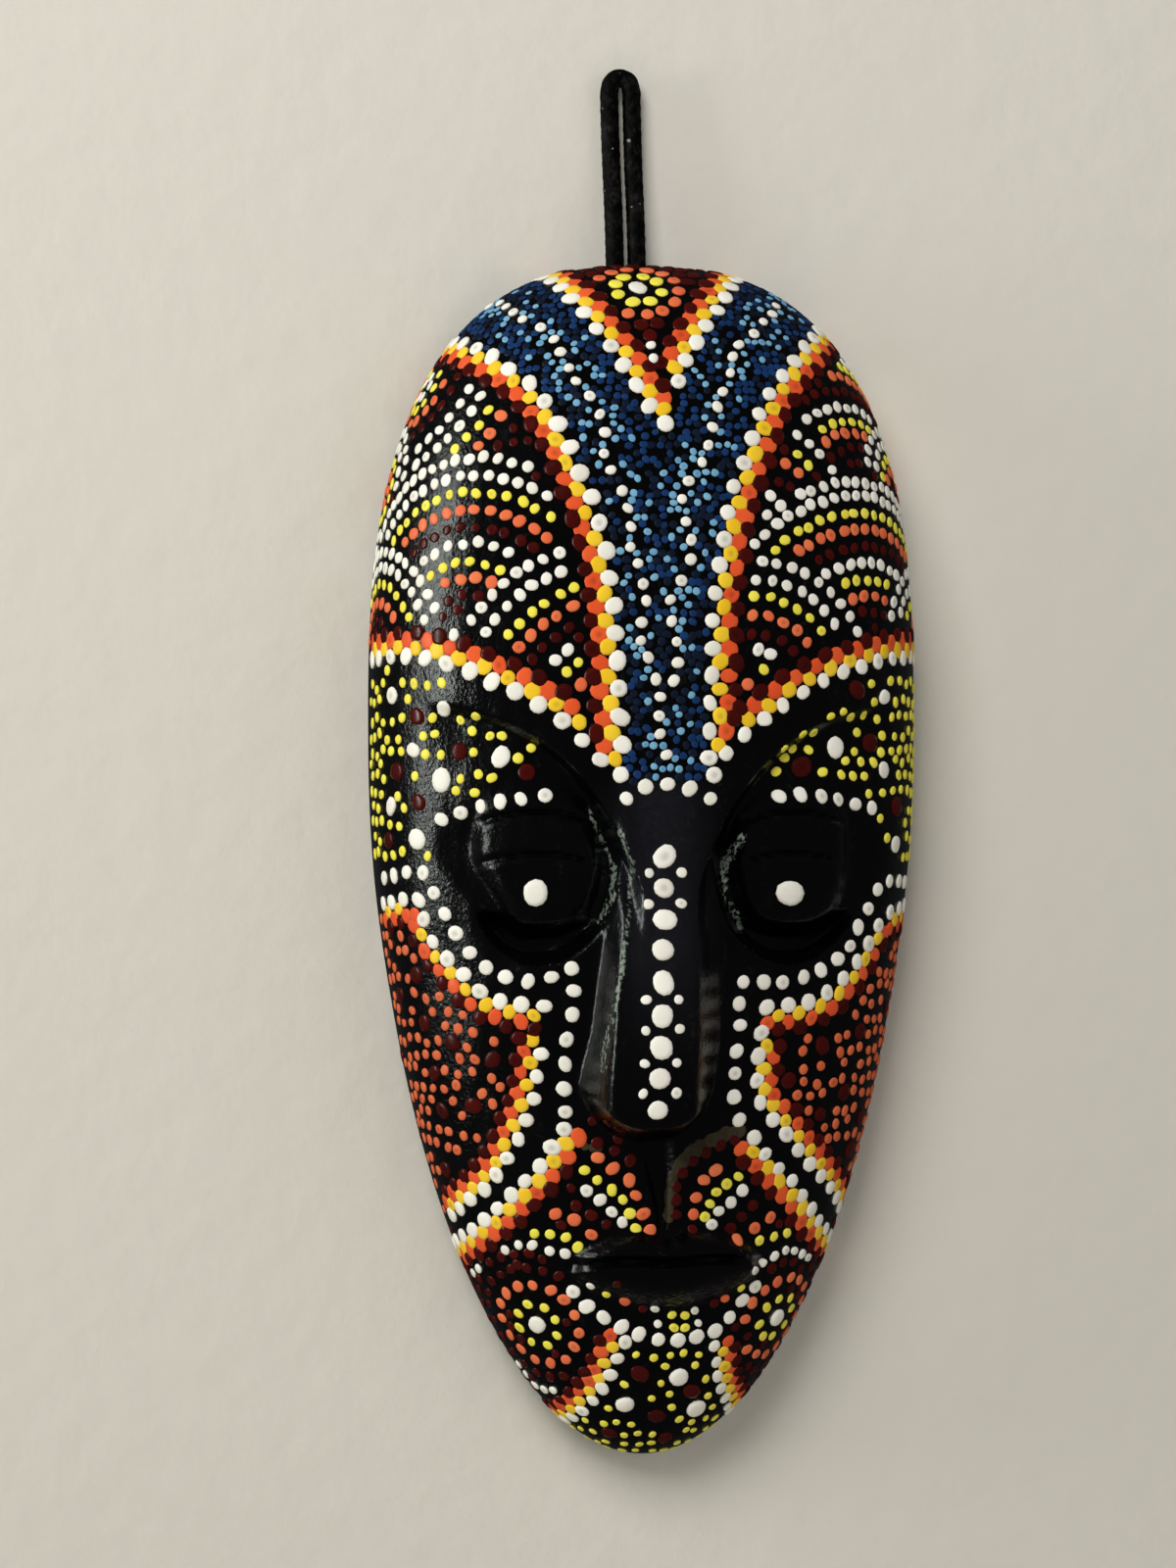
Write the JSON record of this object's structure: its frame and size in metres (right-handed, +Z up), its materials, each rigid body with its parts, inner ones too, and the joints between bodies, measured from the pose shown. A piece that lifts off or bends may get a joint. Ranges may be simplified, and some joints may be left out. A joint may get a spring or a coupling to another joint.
{
  "type": "wooden wall mask",
  "caption": "Long oval wall mask carved in wood, black, covered with raised dots of coloured paint, with a black cord loop to hang it by.",
  "frame": {"origin": "inside the top of the cord loop, where the nail or hook that holds the mask bears", "axes": "+X to the right of someone looking at the face, +Y into the wall, +Z up; the face looks along -Y"},
  "size_m": [0.139, 0.0617, 0.3513],
  "materials": {
    "black_lacquered_wood": "black paint under clear lacquer, with raised coloured dots",
    "black_braid": "matte braided cord",
    "black_braid_knot": "matte braided cord, knotted"
  },
  "bodies": {
    "root": {"mask": "black_lacquered_wood", "hanging_cord": "black_braid", "cord_knot": "black_braid_knot"}
  },
  "joints": []
}
